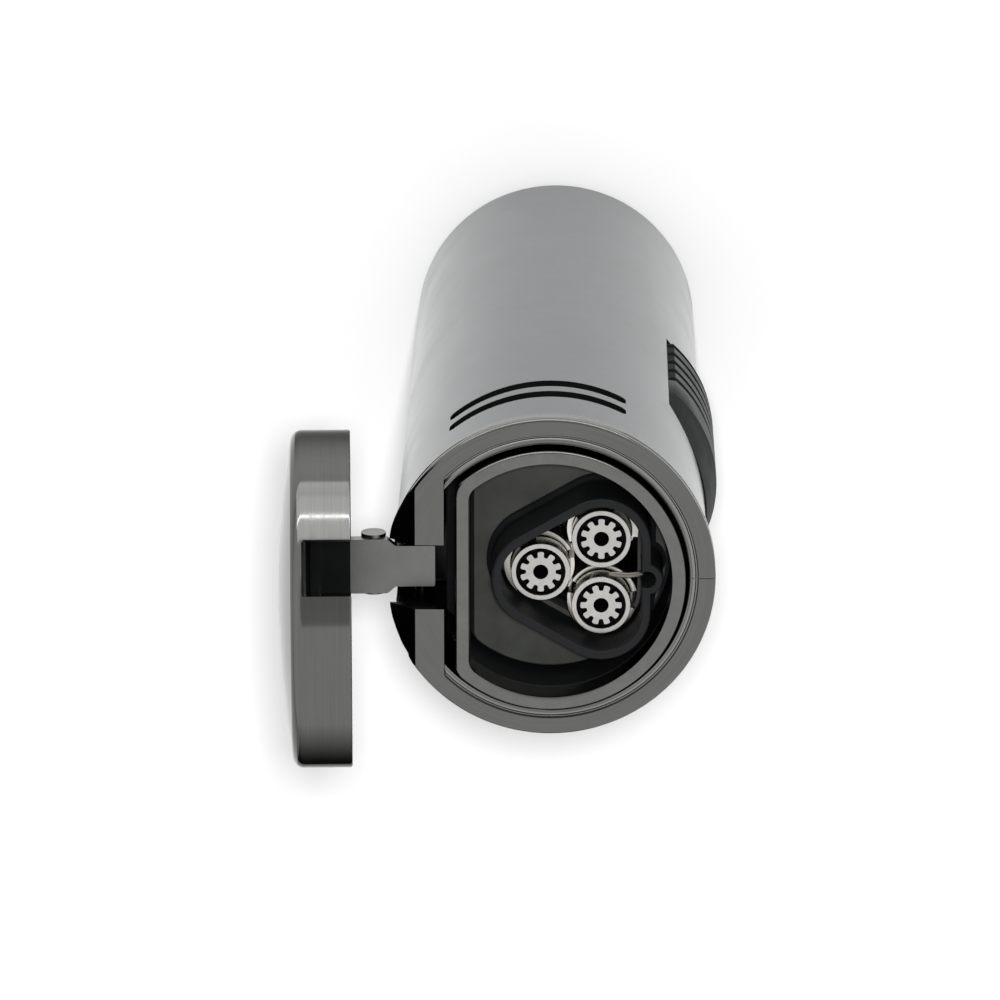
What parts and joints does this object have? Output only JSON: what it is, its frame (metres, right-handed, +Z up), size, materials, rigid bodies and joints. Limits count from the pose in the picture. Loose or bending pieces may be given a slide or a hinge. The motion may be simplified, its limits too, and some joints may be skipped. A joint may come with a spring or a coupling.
{
  "type": "triple-flame pocket torch lighter",
  "caption": "Round gunmetal pocket torch lighter standing with its lid open, with a jet burner under the lid and a black ribbed trigger on its side.",
  "frame": {"origin": "middle of the resting face of the base", "axes": "+Z up along the body towards the burner, -X towards the lid hinge, +X towards the trigger, +Y towards the side seen in the reference view"},
  "size_m": [0.0373, 0.0282, 0.104],
  "materials": {
    "gunmetal": "polished and brushed dark plating",
    "satin_gunmetal": "satin dark plating",
    "bright_steel": "bright machined steel",
    "brass": "plain turned brass",
    "black_plastic": "fine moulded texture",
    "dark_ceramic": "matte, heat darkened",
    "smoke_plastic": "glossy tinted plastic",
    "white_plastic": "plain moulded"
  },
  "bodies": {
    "housing": {"body_tube": "satin_gunmetal", "top_collar": "gunmetal", "burner_rim": "gunmetal", "chamber_wall": "dark_ceramic", "chamber_floor": "dark_ceramic", "burner_base": "black_plastic", "jet_shroud": "black_plastic", "jet_nozzle_1": "bright_steel", "jet_nozzle_2": "bright_steel", "jet_nozzle_3": "bright_steel", "jet_sleeve_1": "bright_steel", "jet_sleeve_2": "bright_steel", "jet_sleeve_3": "bright_steel", "electrode": "bright_steel", "gas_manifold": "brass", "gas_tube": "smoke_plastic", "chassis": "black_plastic", "fuel_tank": "smoke_plastic", "tank_floor": "smoke_plastic", "outlet_valve": "brass", "lever_pin": "bright_steel", "trigger_pin": "bright_steel", "trigger_spring": "bright_steel", "piezo_body": "white_plastic", "ignition_wire": "black_plastic", "hinge_pin": "bright_steel", "base_plate": "gunmetal", "base_screw_1": "bright_steel", "base_screw_2": "bright_steel", "refill_bushing": "brass", "valve_stem": "bright_steel"},
    "lid": {"lid_shell": "gunmetal", "lid_arm": "gunmetal", "lid_liner": "black_plastic", "lid_rivet_1": "bright_steel", "lid_rivet_2": "bright_steel"},
    "trigger": {"trigger": "black_plastic"},
    "piezo_plunger": {"piezo_plunger": "black_plastic"},
    "valve_lever": {"valve_lever": "bright_steel"},
    "flame_adjuster": {"flame_adjuster": "brass"},
    "refill_valve": {"refill_valve": "bright_steel"}
  },
  "joints": [
    {"name": "lid_hinge", "type": "hinge", "parent": "housing", "child": "lid", "pos_m": [-0.01105, 0, 0.0784], "axis": [0, 1, 0], "range_deg": [0, 87.5]},
    {"name": "trigger_pivot", "type": "hinge", "parent": "housing", "child": "trigger", "pos_m": [0.0094, 0, 0.0626], "axis": [0, 1, 0], "range_deg": [0, 8], "stiffness_Nm_per_rad": 0.3, "springref_deg": -5.73},
    {"name": "plunger_slide", "type": "slide", "parent": "housing", "child": "piezo_plunger", "axis": [-1, 0, 0], "range_m": [0, 0.00185]},
    {"name": "valve_lever_pivot", "type": "hinge", "parent": "housing", "child": "valve_lever", "pos_m": [-0.009, 0, 0.0636], "axis": [0, 1, 0], "range_deg": [-4, 0]},
    {"name": "flame_adjuster_turn", "type": "hinge", "parent": "housing", "child": "flame_adjuster", "pos_m": [0, -0.0055, 0.0003], "axis": [0, 0, 1], "range_deg": [-135, 135]},
    {"name": "refill_valve_slide", "type": "slide", "parent": "housing", "child": "refill_valve", "axis": [0, 0, 1], "range_m": [0, 0.001], "stiffness_N_per_m": 400, "springref_m": -0.0005}
  ],
  "couplings": [
    {"joint": "plunger_slide", "follows": "trigger_pivot", "m_per_rad": 0.0126},
    {"joint": "valve_lever_pivot", "follows": "trigger_pivot", "ratio": -0.48}
  ]
}
